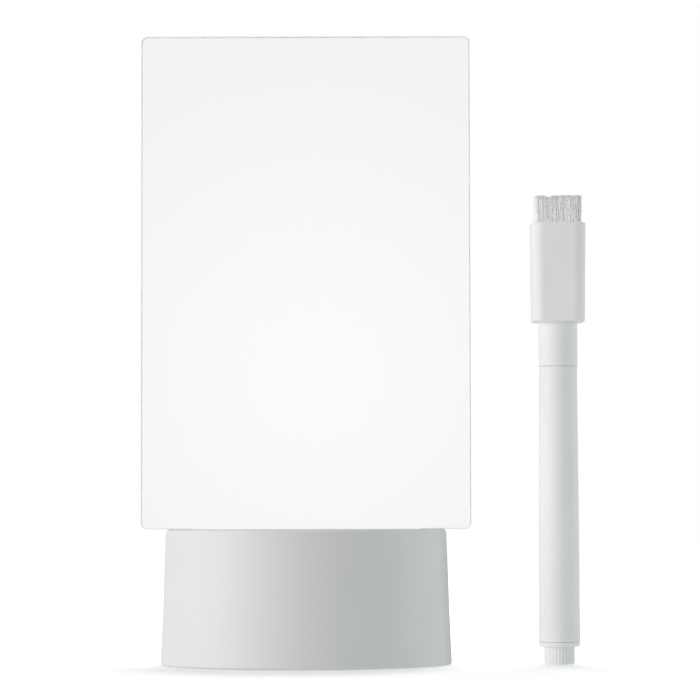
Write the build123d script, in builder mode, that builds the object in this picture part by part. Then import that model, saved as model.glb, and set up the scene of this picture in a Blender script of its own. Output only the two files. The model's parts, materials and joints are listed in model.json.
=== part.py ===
from build123d import *
from math import cos, hypot, pi, radians, sin, tan
import os

# LED memo board: a round battery base, a clear writing panel that stands in its slot, and a
# marker pen with an eraser brush on its cap. Millimetres. The origin is the centre of the
# base's footprint on the desk, +X to the viewer's right, +Y to the back, +Z up.

# Base drum, which narrows a little towards its top
base_height = 41.0
base_bottom_radius = 44.0
base_top_radius = 42.4
rim_lift = 0.25
top_round = 1.3
rim_round = 0.5
wall = 2.6
roof = 2.4
ceiling = base_height - roof

# Bottom cover and the groove for its foot ring
cover_bottom = 0.6
cover_top = 2.6
cover_radius = 41.7
rebate_radius = 42.0
ring_inner_radius = 37.3
ring_outer_radius = 40.5
ring_height = 1.4
ring_round = 0.3
groove_gap = 0.1

# Clear panel and the slot that takes its tongue
panel_width = 100.0
panel_height = 150.0
panel_thick = 4.0
panel_corner = 2.0
tongue_width = 70.0
tongue_depth = 12.0
slot_gap_side = 0.3
slot_gap_face = 0.2
slot_chamfer = 0.3
pocket_wall = 1.6
pocket_bottom = 27.6

# Three AA cells side by side, their length along X
cell_radius = 7.25
cell_length = 50.5
cell_pitch = 15.0
cell_z = 10.25
cell_nub_radius = 2.7
cell_nub_length = 1.2
cell_nub_end = 27.0
cell_edge = 0.4
cell_shoulder = 0.6

# Battery bay, an upturned tub on the cover, and the opening of its door
bay_half_x = 27.75
bay_half_y = 22.5
bay_wall = 2.0
bay_outer_corner = 3.0
bay_inner_corner = 1.0
bay_ceiling = 17.9
bay_top = 19.4
cell_rib_half_length = 20.0
cell_rib_half_width = 0.6
cell_rib_depth = 2.2
ledge_z = 2.4
opening_half_x = 28.75
opening_half_y = 23.5
opening_round = 2.0
window_gap = 0.3
window_bite = 0.5
tab_window_top = 5.1
latch_window_half_y = 5.3
latch_window_top = 6.4
scoop_reach = 31.5
scoop_half_y = 7.0
scoop_depth = 1.2

# Battery door, with its two tabs, its latch and the grooves that a fingertip grips
door_gap = 0.25
door_top = 2.3
tab_y = 12.0
tab_width = 8.0
tab_low = 2.75
tab_high = 3.9
tab_reach = 31.0
tab_root = 27.0
latch_half_y = 4.8
latch_inner_x = 27.0
latch_outer_x = 28.1
latch_top = 5.7
bump_outer_x = 28.35
bump_low = 3.0
bump_high = 3.8
grip_count = 4
grip_start_x = 18.0
grip_pitch = 2.4
grip_half_width = 0.5
grip_half_length = 9.0
grip_depth = 0.4

# Screws of the cover, from below into four posts under the base's top
cover_screw_x = 12.0
cover_screw_y = 29.5
post_bottom = 6.0
post_radius = 3.0
cup_radius = 4.2
cup_bore = 3.2
cover_screw_head_z = 2.4
cover_screw_head = 1.8
cover_screw_head_radius = 2.8
cover_screw_head_round = 0.6
cover_screw_length = 11.0
cover_screw_radius = 1.4
cover_screw_play = 0.25
cover_pilot_play = 0.03
cross_length = 2.6
cross_width = 0.7
cross_depth = 0.9

# Small screws of the light strip and of the switch
small_screw_radius = 0.9
small_screw_pilot = 0.93
small_screw_play = 1.1
small_head_radius = 1.75
small_head_height = 1.2
small_head_round = 0.4
board_screw_length = 6.5
switch_screw_length = 2.5
switch_pilot_depth = 2.1

# Contacts of the cells
contact_thick = 0.4
contact_outer_x = 27.7
contact_low = 6.6
contact_high = 16.6
contact_half_width = 5.5
dimple_radius = 2.0
dimple_height = 0.3
solder_tab_top = 22.4
solder_tab_width = 3.0
solder_gap = 0.6
spring_wide = 4.3
spring_narrow = 2.9
spring_wire = 0.6

# Light strip under the slot
board_length = 72.0
board_width = 16.0
board_corner = 1.0
board_bottom = 25.0
board_top = 26.6
board_screw_x = 26.0
board_screw_y = 6.2
board_post_radius = 2.4
board_hole_radius = 1.15
chip_count = 6
chip_pitch = 11.0
chip_length = 3.5
chip_width = 2.8
chip_height = 0.75
chip_rim = 0.4
chip_well_depth = 0.15
chip_well_corner = 0.5
resistor_x = 10.4
resistor_y = 5.1
resistor_length = 3.2
resistor_width = 1.6
resistor_height = 0.55

# Slide switch in the back wall, the recess round it and the pad that it is screwed to
switch_z = 20.5
pad_y = 38.6
pad_back_y = 40.95
pad_half_x = 12.5
pad_half_z = 5.5
recess_y = 40.9
recess_width = 15.0
recess_height = 8.0
window_half_x = 4.1
window_half_z = 1.9
switch_travel = 2.5
ear_thick = 0.5
ear_half_x = 10.8
ear_half_z = 2.6
ear_screw_x = 8.9
switch_half_x = 4.6
switch_half_z = 2.4
switch_back_y = 34.0
chamber_y = 35.8
chamber_half_x = 3.9
chamber_half_z = 1.35
pin_pitch = 2.5
pin_tip_y = 31.1
pin_half_x = 0.35
pin_half_z = 0.2
stem_half_x = 1.7
stem_half_z = 1.0
stem_gap = 0.3
knob_base_y = 39.0
knob_end_y = 42.9
knob_half_x = 2.5
knob_half_z = 1.6
knob_round = 0.3
knob_groove_pitch = 1.3
knob_groove_half_width = 0.25
knob_groove_depth = 0.4

# Hook-up wire
wire_radius = 0.55

# Marker pen, which stands on its end plug beside the base
pen_x = 76.6
plug_neck_radius = 4.6
plug_neck_top = 5.35
plug_foot_bevel = 0.4
plug_flange_radius = 6.2
plug_flange_bevel = 0.4
plug_flange_top = 6.7
plug_insert_radius = 4.35
plug_insert_bevel = 0.5
plug_insert_top = 13.6
flute_count = 28
flute_radius = 0.22
flute_circle = 4.66
flute_top = 5.05
barrel_bottom = 6.76
barrel_top = 90.1
barrel_bottom_radius = 6.35
barrel_bottom_bevel = 0.2
barrel_top_radius = 5.75
barrel_top_bevel = 0.12
barrel_bore = 4.4
barrel_bore_top = 83.6
nose_bore = 3.45
neck_radius = 4.75
neck_bevel = 0.3
neck_top = 98.0
reservoir_radius = 4.1
reservoir_bottom = 15.6
reservoir_top = 79.6
holder_bottom = 84.6
holder_insert_radius = 3.42
holder_flange_radius = 4.2
holder_flange_top = 99.2
holder_base_radius = 3.9
holder_nose_radius = 2.6
holder_nose_bevel = 0.4
holder_bore = 1.7
holder_top = 108.1
nib_radius = 1.65
nib_top = 113.6
nib_tip_radius = 0.4
nib_round_length = 2.2
cap_bottom = 90.16
skirt_top = 103.7
skirt_radius = 5.9
skirt_round = 0.12
block_low_width = 15.9
block_top_width = 16.5
block_corner = 3.5
block_low_round = 0.35
block_top_round = 0.6
cap_top = 133.7
cap_bore_low = 4.85
cap_bore_step = 98.5
cap_bore_high = 4.6
cap_bore_top = 117.7
liner_bottom = 100.6
liner_outer_radius = 4.57
liner_inner_radius = 4.15
liner_roof = 1.5

# Eraser brush in the pocket on top of the cap
brush_pocket = 14.2
brush_pocket_floor = 123.6
brush_pocket_round = 2.4
brush_backing = 13.9
backing_top = 132.2
brush_top = 142.1
strand_rows = 20
strand_width = 0.42
strand_root = 0.3
brush_spread = 13.3
brush_corner_start = 0.72
brush_corner_round = 0.3


def block_size_and_middle(low, high):
    """Size and middle of a block between two opposite corners."""
    size = [b - a for a, b in zip(low, high)]
    middle = [(a + b) / 2 for a, b in zip(low, high)]
    return size, tuple(middle)


def box_between(low, high):
    """A block between two opposite corners, in the builder that calls it."""
    size, middle = block_size_and_middle(low, high)
    with Locations(middle):
        return Box(*size)


def cut_between(low, high):
    """The same block, taken away."""
    size, middle = block_size_and_middle(low, high)
    with Locations(middle):
        return Box(*size, mode=Mode.SUBTRACT)


def keep(piece, name):
    """Name a finished piece and write it to its own file."""
    piece.part.label = name
    export_step(piece.part, f"parts/{name}.step")


def bend_radii(points):
    """The largest arc that fits at each corner of a route of straight runs."""
    corners = [Vector(*p) for p in points]
    runs = [b - a for a, b in zip(corners, corners[1:])]
    radii = []
    for before, after in zip(runs, runs[1:]):
        shorter = min(before.length, after.length)
        radii.append(0.45 * shorter / tan(radians(before.get_angle(after) / 2)))
    return radii


os.makedirs("parts", exist_ok=True)
slot_half_x = tongue_width / 2 + slot_gap_side
slot_half_y = panel_thick / 2 + slot_gap_face
screw_spots = [(x, y) for x in (-cover_screw_x, cover_screw_x) for y in (-cover_screw_y, cover_screw_y)]
board_spots = [(board_screw_x, -board_screw_y), (-board_screw_x, board_screw_y)]
ear_spots = [(-ear_screw_x, switch_z), (ear_screw_x, switch_z)]
beyond = 1.0

# Base shell: one moulding with the slot pocket, six posts and a pad for the switch
with BuildPart() as base_shell:
    with BuildSketch(Plane.XZ):
        with BuildLine():
            Polyline(
                (0, rim_lift),
                (base_bottom_radius, rim_lift),
                (base_top_radius, base_height),
                (0, base_height),
                close=True,
            )
        make_face()
    revolve(axis=Axis.Z)
    fillet(edges().filter_by(GeomType.CIRCLE).sort_by(Axis.Z)[-1], radius=top_round)
    fillet(edges().filter_by(GeomType.CIRCLE).sort_by(Axis.Z)[0], radius=rim_round)
    # The hollow, with a rebate that the cover's edge rests against
    with BuildSketch(Plane.XZ):
        with BuildLine():
            Polyline(
                (0, 0),
                (rebate_radius, 0),
                (rebate_radius, cover_top),
                (base_bottom_radius - wall, cover_top),
                (base_top_radius - wall, ceiling),
                (0, ceiling),
                close=True,
            )
        make_face()
    revolve(axis=Axis.Z, mode=Mode.SUBTRACT)
    # Walls of the pocket that steadies the tongue
    pocket_x = slot_half_x + pocket_wall
    pocket_y = slot_half_y + pocket_wall
    box_between((-pocket_x, -pocket_y, pocket_bottom), (pocket_x, pocket_y, ceiling))
    # Posts for the cover's screws and for the light strip's screws
    with BuildSketch(Plane.XY.offset(post_bottom)):
        with Locations(*screw_spots):
            Circle(post_radius)
    extrude(amount=ceiling - post_bottom)
    with BuildSketch(Plane.XY.offset(board_top)):
        with Locations(*board_spots):
            Circle(board_post_radius)
    extrude(amount=ceiling - board_top)
    # Flat pad inside the back wall, the recess outside it and the switch's window through both
    box_between(
        (-pad_half_x, pad_y, switch_z - pad_half_z),
        (pad_half_x, pad_back_y, switch_z + pad_half_z),
    )
    cut_between(
        (-recess_width / 2, recess_y, switch_z - recess_height / 2),
        (recess_width / 2, base_bottom_radius + beyond, switch_z + recess_height / 2),
    )
    cut_between(
        (-window_half_x, pad_y - beyond, switch_z - window_half_z),
        (window_half_x, base_bottom_radius + beyond, switch_z + window_half_z),
    )
    # The slot
    cut_between(
        (-slot_half_x, -slot_half_y, pocket_bottom - beyond),
        (slot_half_x, slot_half_y, base_height + beyond),
    )
    # Pilot holes of the screws
    with BuildSketch(Plane.XY.offset(post_bottom)):
        with Locations(*screw_spots):
            Circle(cover_screw_radius + cover_pilot_play)
    extrude(amount=cover_screw_length, mode=Mode.SUBTRACT)
    with BuildSketch(Plane.XY.offset(board_top)):
        with Locations(*board_spots):
            Circle(small_screw_pilot)
    extrude(amount=board_screw_length, mode=Mode.SUBTRACT)
    with BuildSketch(Plane.XZ.offset(-pad_y)):
        with Locations(*ear_spots):
            Circle(small_screw_pilot)
    extrude(amount=-switch_pilot_depth, mode=Mode.SUBTRACT)
    slot_mouth = edges().filter_by(GeomType.LINE).group_by(Axis.Z)[-1]
    chamfer(slot_mouth, length=slot_chamfer)
keep(base_shell, "base_shell")

# Bottom cover: a disc with the battery bay standing on it, open through the door
with BuildPart() as bottom_cover:
    with BuildSketch(Plane.XY.offset(cover_bottom)):
        Circle(cover_radius)
    extrude(amount=cover_top - cover_bottom)
    with BuildSketch(Plane.XY.offset(cover_bottom)):
        RectangleRounded(2 * opening_half_x, 2 * opening_half_y, opening_round)
    extrude(amount=cover_top - cover_bottom, mode=Mode.SUBTRACT)
    with BuildSketch(Plane.XY.offset(ledge_z)):
        RectangleRounded(2 * (bay_half_x + bay_wall), 2 * (bay_half_y + bay_wall), bay_outer_corner)
    extrude(amount=bay_top - ledge_z)
    with BuildSketch(Plane.XY.offset(ledge_z)):
        RectangleRounded(2 * bay_half_x, 2 * bay_half_y, bay_inner_corner)
    extrude(amount=bay_ceiling - ledge_z, mode=Mode.SUBTRACT)
    # Low ribs under the bay's ceiling keep the cells apart
    for side in (-1, 1):
        rib_y = side * cell_pitch / 2
        box_between(
            (-cell_rib_half_length, rib_y - cell_rib_half_width, bay_ceiling - cell_rib_depth),
            (cell_rib_half_length, rib_y + cell_rib_half_width, bay_ceiling),
        )
    # Cups round the cover's screws
    with BuildSketch(Plane.XY.offset(cover_bottom)):
        with Locations(*screw_spots):
            Circle(cup_radius)
    extrude(amount=post_bottom - cover_bottom)
    with BuildSketch(Plane.XY.offset(cover_bottom)):
        with Locations(*screw_spots):
            Circle(cup_bore)
    extrude(amount=cover_screw_head_z + cover_screw_head - cover_bottom, mode=Mode.SUBTRACT)
    with BuildSketch(Plane.XY.offset(cover_bottom)):
        with Locations(*screw_spots):
            Circle(cover_screw_radius + cover_screw_play)
    extrude(amount=post_bottom - cover_bottom, mode=Mode.SUBTRACT)
    # Groove of the foot ring
    with BuildSketch(Plane.XY.offset(cover_bottom)):
        Circle(ring_outer_radius + groove_gap)
        Circle(ring_inner_radius - groove_gap, mode=Mode.SUBTRACT)
    extrude(amount=ring_height - cover_bottom, mode=Mode.SUBTRACT)
    # Windows for the door's two tabs, through the left wall and its ledge
    for side in (-1, 1):
        low_y = side * tab_y - tab_width / 2 - window_gap
        high_y = side * tab_y + tab_width / 2 + window_gap
        inner_x = -bay_half_x + window_bite
        cut_between((-bay_half_x - bay_wall - beyond, low_y, cover_top), (inner_x, high_y, tab_window_top))
        cut_between((-opening_half_x, low_y, ledge_z), (inner_x, high_y, cover_top))
    # Window for its latch, through the right wall and its ledge
    cut_between(
        (bay_half_x - window_bite, -latch_window_half_y, cover_top),
        (bay_half_x + bay_wall + beyond, latch_window_half_y, latch_window_top),
    )
    cut_between(
        (bay_half_x - window_bite, -latch_window_half_y, ledge_z),
        (opening_half_x, latch_window_half_y, cover_top),
    )
    # Scoop for a fingertip beside the latch
    cut_between(
        (opening_half_x - window_bite, -scoop_half_y, 0),
        (scoop_reach, scoop_half_y, cover_bottom + scoop_depth),
    )
    # Openings in the bay's ceiling for the two solder tabs
    tab_gap_half_y = solder_tab_width / 2 + solder_gap
    tab_gap_low_x = contact_outer_x - 2 * contact_thick
    tab_gap_high_x = contact_outer_x + contact_thick
    for side in (-1, 1):
        low_x, high_x = sorted((side * tab_gap_low_x, side * tab_gap_high_x))
        middle_y = side * cell_pitch
        cut_between(
            (low_x, middle_y - tab_gap_half_y, bay_ceiling - beyond),
            (high_x, middle_y + tab_gap_half_y, bay_top + beyond),
        )
keep(bottom_cover, "bottom_cover")

# Battery door: a flat lid with two tabs on its hinge side and a finger latch opposite
door_half_x = opening_half_x - door_gap
door_half_y = opening_half_y - door_gap
with BuildPart() as battery_door:
    with BuildSketch(Plane.XY.offset(cover_bottom)):
        RectangleRounded(2 * door_half_x, 2 * door_half_y, opening_round)
    extrude(amount=door_top - cover_bottom)
    for side in (-1, 1):
        low_y = side * tab_y - tab_width / 2
        high_y = side * tab_y + tab_width / 2
        box_between((-door_half_x + 0.1, low_y, door_top), (-tab_root, high_y, tab_high))
        box_between((-tab_reach, low_y, tab_low), (-tab_root, high_y, tab_high))
    # Latch: a springy tongue with a small bump
    box_between((latch_inner_x, -latch_half_y, door_top), (latch_outer_x, latch_half_y, latch_top))
    box_between((latch_outer_x, -latch_half_y, bump_low), (bump_outer_x, latch_half_y, bump_high))
    # Grip grooves beside the latch
    for step in range(grip_count):
        grip_x = grip_start_x + grip_pitch * step
        cut_between(
            (grip_x - grip_half_width, -grip_half_length, cover_bottom - beyond),
            (grip_x + grip_half_width, grip_half_length, cover_bottom + grip_depth),
        )
keep(battery_door, "battery_door")

# Foot ring: one strip of soft rubber pressed in the cover's groove
with BuildPart() as foot_ring:
    with BuildSketch():
        Circle(ring_outer_radius)
        Circle(ring_inner_radius, mode=Mode.SUBTRACT)
    extrude(amount=ring_height)
    fillet(edges().group_by(Axis.Z)[0], radius=ring_round)
keep(foot_ring, "foot_ring")

# Cover screws: four pan heads with a cross recess, each driven upwards
with BuildPart() as cover_screws:
    with BuildSketch(Plane.XY.offset(cover_screw_head_z)):
        with Locations(*screw_spots):
            Circle(cover_screw_head_radius)
    extrude(amount=cover_screw_head)
    fillet(edges().filter_by(GeomType.CIRCLE).group_by(Axis.Z)[0], radius=cover_screw_head_round)
    with BuildSketch(Plane.XY.offset(cover_screw_head_z + cover_screw_head)):
        with Locations(*screw_spots):
            Circle(cover_screw_radius)
    extrude(amount=cover_screw_length)
    with BuildSketch(Plane.XY.offset(cover_screw_head_z)):
        with Locations(*screw_spots):
            Rectangle(cross_length, cross_width)
            Rectangle(cross_width, cross_length)
    extrude(amount=cross_depth, mode=Mode.SUBTRACT)
keep(cover_screws, "cover_screws")


# Cells: a plain can with a rounded shoulder and a nub, laid along X
def cell_profile(points_to):
    """Half outline of a cell from its flat end to its nub, which points to +X or -X."""
    flat_end = points_to * (cell_nub_end - cell_length)
    shoulder = points_to * (cell_nub_end - cell_nub_length)
    nub_end = points_to * cell_nub_end
    Polyline(
        (flat_end, 0),
        (flat_end, cell_radius - cell_edge),
        (flat_end + points_to * cell_edge, cell_radius),
        (shoulder - points_to * cell_shoulder, cell_radius),
        (shoulder, cell_radius - cell_shoulder),
        (shoulder, cell_nub_radius),
        (nub_end, cell_nub_radius),
        (nub_end, 0),
        close=True,
    )


cells = [("battery_1", cell_pitch, 1), ("battery_2", 0, -1), ("battery_3", -cell_pitch, 1)]
for name, cell_y, points_to in cells:
    with BuildPart() as battery:
        with BuildSketch(Plane(origin=(0, cell_y, cell_z), x_dir=(1, 0, 0), z_dir=(0, -1, 0))):
            with BuildLine():
                cell_profile(points_to)
            make_face()
        revolve(axis=Axis((0, cell_y, cell_z), (1, 0, 0)))
    keep(battery, name)


# Contacts: sprung steel strips at both ends of the bay
def contact_strip(side, low_y, high_y, low_z, high_z):
    """A flat strip against the bay's right wall (side 1) or left wall (side -1)."""
    low_x, high_x = sorted((side * (contact_outer_x - contact_thick), side * contact_outer_x))
    return box_between((low_x, low_y, low_z), (high_x, high_y, high_z))


def contact_plate(side, first_cell_y, last_cell_y):
    """The strip behind one cell or two neighbours."""
    low_y = first_cell_y - contact_half_width
    high_y = last_cell_y + contact_half_width
    return contact_strip(side, low_y, high_y, contact_low, contact_high)


def contact_dimple(side, dimple_y):
    """A low round pip that a cell's nub touches."""
    inner_x = side * (contact_outer_x - contact_thick)
    face = Plane(origin=(inner_x, dimple_y, cell_z), x_dir=(0, 1, 0), z_dir=(-side, 0, 0))
    with BuildSketch(face) as dimple:
        Circle(dimple_radius)
    extrude(dimple.sketch, amount=dimple_height)


def solder_tab(side, middle_y):
    """A narrow tail above the plate, which a wire is soldered to."""
    half = solder_tab_width / 2
    return contact_strip(side, middle_y - half, middle_y + half, contact_high, solder_tab_top)


with BuildPart() as positive_terminal:
    contact_plate(1, cell_pitch, cell_pitch)
    contact_dimple(1, cell_pitch)
    solder_tab(1, cell_pitch)
keep(positive_terminal, "positive_terminal")

with BuildPart() as negative_terminal:
    contact_plate(-1, -cell_pitch, -cell_pitch)
    solder_tab(-1, -cell_pitch)
keep(negative_terminal, "negative_terminal")

with BuildPart() as bridge_contact_left:
    contact_plate(-1, 0, cell_pitch)
    contact_dimple(-1, 0)
keep(bridge_contact_left, "bridge_contact_left")

with BuildPart() as bridge_contact_right:
    contact_plate(1, -cell_pitch, 0)
    contact_dimple(1, -cell_pitch)
keep(bridge_contact_right, "bridge_contact_right")

# Contact springs: a hollow cone against the flat end of each cell
with BuildPart() as contact_springs:
    for name, cell_y, points_to in cells:
        plate_x = -points_to * (contact_outer_x - contact_thick)
        cell_end_x = points_to * (cell_nub_end - cell_length)
        spring_plane = Plane(origin=(plate_x, cell_y, cell_z), x_dir=(0, 1, 0), z_dir=(points_to, 0, 0))
        spring_length = abs(cell_end_x - plate_x)
        with BuildSketch(spring_plane):
            Circle(spring_wide)
            Circle(spring_wide - spring_wire, mode=Mode.SUBTRACT)
        with BuildSketch(spring_plane.offset(spring_length)):
            Circle(spring_narrow)
            Circle(spring_narrow - spring_wire, mode=Mode.SUBTRACT)
        loft(ruled=True)
keep(contact_springs, "contact_springs")

# Light strip: a narrow circuit board under the slot
with BuildPart() as led_board:
    with BuildSketch(Plane.XY.offset(board_bottom)):
        RectangleRounded(board_length, board_width, board_corner)
        with Locations(*board_spots):
            Circle(board_hole_radius, mode=Mode.SUBTRACT)
    extrude(amount=board_top - board_bottom)
keep(led_board, "led_board")

# Its chips, each with a shallow well where its light comes out
with BuildPart() as led_chips:
    with BuildSketch(Plane.XY.offset(board_top)):
        with GridLocations(chip_pitch, 1, chip_count, 1):
            Rectangle(chip_length, chip_width)
    extrude(amount=chip_height)
    with BuildSketch(Plane.XY.offset(board_top + chip_height)):
        with GridLocations(chip_pitch, 1, chip_count, 1):
            RectangleRounded(chip_length - 2 * chip_rim, chip_width - 2 * chip_rim, chip_well_corner)
    extrude(amount=-chip_well_depth, mode=Mode.SUBTRACT)
keep(led_chips, "led_chips")

# Its resistor, which limits the current
with BuildPart() as board_resistor:
    box_between(
        (resistor_x, resistor_y, board_top),
        (resistor_x + resistor_length, resistor_y + resistor_width, board_top + resistor_height),
    )
keep(board_resistor, "board_resistor")

# Its two screws, driven upwards into the posts
with BuildPart() as board_screws:
    with BuildSketch(Plane.XY.offset(board_bottom)):
        with Locations(*board_spots):
            Circle(small_head_radius)
    extrude(amount=-small_head_height)
    fillet(edges().filter_by(GeomType.CIRCLE).group_by(Axis.Z)[0], radius=small_head_round)
    with BuildSketch(Plane.XY.offset(board_bottom)):
        with Locations(*board_spots):
            Circle(small_screw_radius)
    extrude(amount=board_screw_length)
keep(board_screws, "board_screws")

# Slide switch: a can with two ears and three pins, open towards the window
with BuildPart() as switch_body:
    box_between(
        (-ear_half_x, pad_y - ear_thick, switch_z - ear_half_z),
        (ear_half_x, pad_y, switch_z + ear_half_z),
    )
    box_between(
        (-switch_half_x, switch_back_y, switch_z - switch_half_z),
        (switch_half_x, pad_y - ear_thick, switch_z + switch_half_z),
    )
    for step in (-1, 0, 1):
        pin_x = step * pin_pitch
        box_between(
            (pin_x - pin_half_x, pin_tip_y, switch_z - pin_half_z),
            (pin_x + pin_half_x, switch_back_y, switch_z + pin_half_z),
        )
    cut_between(
        (-chamber_half_x, chamber_y, switch_z - chamber_half_z),
        (chamber_half_x, pad_y + beyond, switch_z + chamber_half_z),
    )
    with BuildSketch(Plane.XZ.offset(-pad_y)):
        with Locations(*ear_spots):
            Circle(small_screw_play)
    extrude(amount=ear_thick, mode=Mode.SUBTRACT)
keep(switch_body, "switch_body")

# Slider: a stem in the can and the knob that a fingernail moves
slider_x = -switch_travel / 2
knob_groove_floor = knob_end_y - knob_groove_depth
with BuildPart() as switch_slider:
    box_between(
        (slider_x - stem_half_x, chamber_y + stem_gap, switch_z - stem_half_z),
        (slider_x + stem_half_x, knob_base_y, switch_z + stem_half_z),
    )
    box_between(
        (slider_x - knob_half_x, knob_base_y, switch_z - knob_half_z),
        (slider_x + knob_half_x, knob_end_y, switch_z + knob_half_z),
    )
    fillet(edges().filter_by(Axis.Z).group_by(Axis.Y)[-1], radius=knob_round)
    # Three grooves that a fingernail catches in
    for step in (-1, 0, 1):
        groove_x = slider_x + knob_groove_pitch * step
        cut_between(
            (groove_x - knob_groove_half_width, knob_groove_floor, switch_z - window_half_z),
            (groove_x + knob_groove_half_width, knob_end_y + beyond, switch_z + window_half_z),
        )
keep(switch_slider, "switch_slider")

# Switch screws: through the ears into the pad
with BuildPart() as switch_screws:
    with BuildSketch(Plane.XZ.offset(-pad_y + ear_thick)):
        with Locations(*ear_spots):
            Circle(small_head_radius)
    extrude(amount=small_head_height)
    fillet(edges().filter_by(GeomType.CIRCLE).group_by(Axis.Y)[0], radius=small_head_round)
    with BuildSketch(Plane.XZ.offset(-pad_y + ear_thick)):
        with Locations(*ear_spots):
            Circle(small_screw_radius)
    extrude(amount=-switch_screw_length)
keep(switch_screws, "switch_screws")

# Wires: each lies loosely over the battery bay and is soldered at both ends
solder_z = 21.3
board_solder_z = 25.7
contact_face_x = contact_outer_x - contact_thick
wire_routes = {
    "wire_positive": [
        (contact_face_x, cell_pitch, solder_z),
        (23.0, cell_pitch, solder_z),
        (17.0, 16.6, 21.7),
        (10.0, 20.6, 21.4),
        (3.2, 24.2, 20.9),
        (pin_pitch, 27.4, switch_z),
        (pin_pitch, pin_tip_y, switch_z),
    ],
    "wire_switched": [
        (0.0, pin_tip_y, switch_z),
        (0.0, 27.6, switch_z),
        (-0.9, 22.4, 21.6),
        (-2.9, 17.0, 24.0),
        (-3.8, 12.0, board_solder_z),
        (-3.8, board_width / 2, board_solder_z),
    ],
    "wire_negative": [
        (-contact_face_x, -cell_pitch, solder_z),
        (-23.2, -cell_pitch, solder_z),
        (-18.0, -15.9, 22.0),
        (-12.6, -15.6, 23.6),
        (-9.2, -12.2, board_solder_z),
        (-9.2, -board_width / 2, board_solder_z),
    ],
}
for name, route in wire_routes.items():
    radii = bend_radii(route)
    with BuildPart() as wire:
        with BuildLine() as wire_path:
            FilletPolyline(*route, radius=radii)
        start = Vector(*route[0])
        heading = Vector(*route[1]) - start
        with BuildSketch(Plane(origin=start, z_dir=heading)):
            Circle(wire_radius)
        sweep(path=wire_path.wire())
    length = sum(edge.length for edge in wire_path.line.edges())
    expected = pi * wire_radius**2 * length
    print(name, "radii", [round(r, 1) for r in radii], "length", round(length, 1))
    print(name, "volume over section times length", round(wire.part.volume / expected, 3))
    keep(wire, name)

# Writing panel: clear sheet with a tongue on its lower edge
with BuildPart() as writing_panel:
    with BuildSketch(Plane.XZ):
        with Locations((0, base_height + panel_height / 2)):
            RectangleRounded(panel_width, panel_height, panel_corner)
        with Locations((0, base_height - tongue_depth / 2 + beyond)):
            Rectangle(tongue_width, tongue_depth + 2 * beyond)
    extrude(amount=panel_thick / 2, both=True)
keep(writing_panel, "writing_panel")

pen_axis = Axis((pen_x, 0, 0), (0, 0, 1))
pen_plane = Plane(origin=(pen_x, 0, 0), x_dir=(1, 0, 0), z_dir=(0, -1, 0))


def disc_plane(height):
    """A level plane centred on the pen."""
    return Plane(origin=(pen_x, 0, height), z_dir=(0, 0, 1))


def revolve_outline(*points):
    """A solid of revolution about the pen's axis, from radius and height pairs."""
    with BuildSketch(pen_plane) as outline:
        with BuildLine():
            Polyline(*points, close=True)
        make_face()
    revolve(outline.sketch, axis=pen_axis)


# End plug: fluted foot, flange, and the insert that closes the barrel
with BuildPart() as pen_end_plug:
    revolve_outline(
        (0, 0),
        (plug_neck_radius - plug_foot_bevel, 0),
        (plug_neck_radius, plug_foot_bevel),
        (plug_neck_radius, plug_neck_top),
        (plug_flange_radius - plug_flange_bevel, plug_neck_top),
        (plug_flange_radius, plug_neck_top + plug_flange_bevel),
        (plug_flange_radius, plug_flange_top),
        (plug_insert_radius, plug_flange_top),
        (plug_insert_radius, plug_insert_top - plug_insert_bevel),
        (plug_insert_radius - plug_insert_bevel, plug_insert_top),
        (0, plug_insert_top),
    )
    with BuildSketch(disc_plane(0)):
        with PolarLocations(flute_circle, flute_count):
            Circle(flute_radius)
    extrude(amount=flute_top, mode=Mode.SUBTRACT)
keep(pen_end_plug, "pen_end_plug")

# Barrel: a thin tube that narrows towards the cap, with a neck that the cap slides over
with BuildPart() as pen_barrel:
    revolve_outline(
        (barrel_bore, barrel_bottom),
        (barrel_bottom_radius - barrel_bottom_bevel, barrel_bottom),
        (barrel_bottom_radius, barrel_bottom + barrel_bottom_bevel),
        (barrel_top_radius, barrel_top - barrel_top_bevel),
        (barrel_top_radius - barrel_top_bevel, barrel_top),
        (neck_radius, barrel_top),
        (neck_radius, neck_top - neck_bevel),
        (neck_radius - neck_bevel, neck_top),
        (nose_bore, neck_top),
        (nose_bore, barrel_bore_top),
        (barrel_bore, barrel_bore_top),
    )
keep(pen_barrel, "pen_barrel")

# Ink reservoir: a rod of bonded fibre
with BuildPart() as ink_reservoir:
    with BuildSketch(disc_plane(reservoir_bottom)):
        Circle(reservoir_radius)
    extrude(amount=reservoir_top - reservoir_bottom)
keep(ink_reservoir, "ink_reservoir")

# Nib holder: a cone pressed in the barrel's neck
with BuildPart() as nib_holder:
    revolve_outline(
        (holder_bore, holder_bottom),
        (holder_insert_radius, holder_bottom),
        (holder_insert_radius, neck_top),
        (holder_flange_radius, neck_top),
        (holder_flange_radius, holder_flange_top),
        (holder_base_radius, holder_flange_top),
        (holder_nose_radius, holder_top - holder_nose_bevel),
        (holder_nose_radius - holder_nose_bevel, holder_top),
        (holder_bore, holder_top),
    )
keep(nib_holder, "nib_holder")

# Nib: a bullet of felt whose tail touches the reservoir
nib_shoulder = nib_top - nib_round_length
nib_arc_middle = (1.25, nib_top - 0.75)
with BuildPart() as pen_nib:
    with BuildSketch(pen_plane):
        with BuildLine():
            Line((0, reservoir_top), (nib_radius, reservoir_top))
            Line((nib_radius, reservoir_top), (nib_radius, nib_shoulder))
            ThreePointArc((nib_radius, nib_shoulder), nib_arc_middle, (nib_tip_radius, nib_top))
            Line((nib_tip_radius, nib_top), (0, nib_top))
            Line((0, nib_top), (0, reservoir_top))
        make_face()
    revolve(axis=pen_axis)
keep(pen_nib, "pen_nib")

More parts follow.
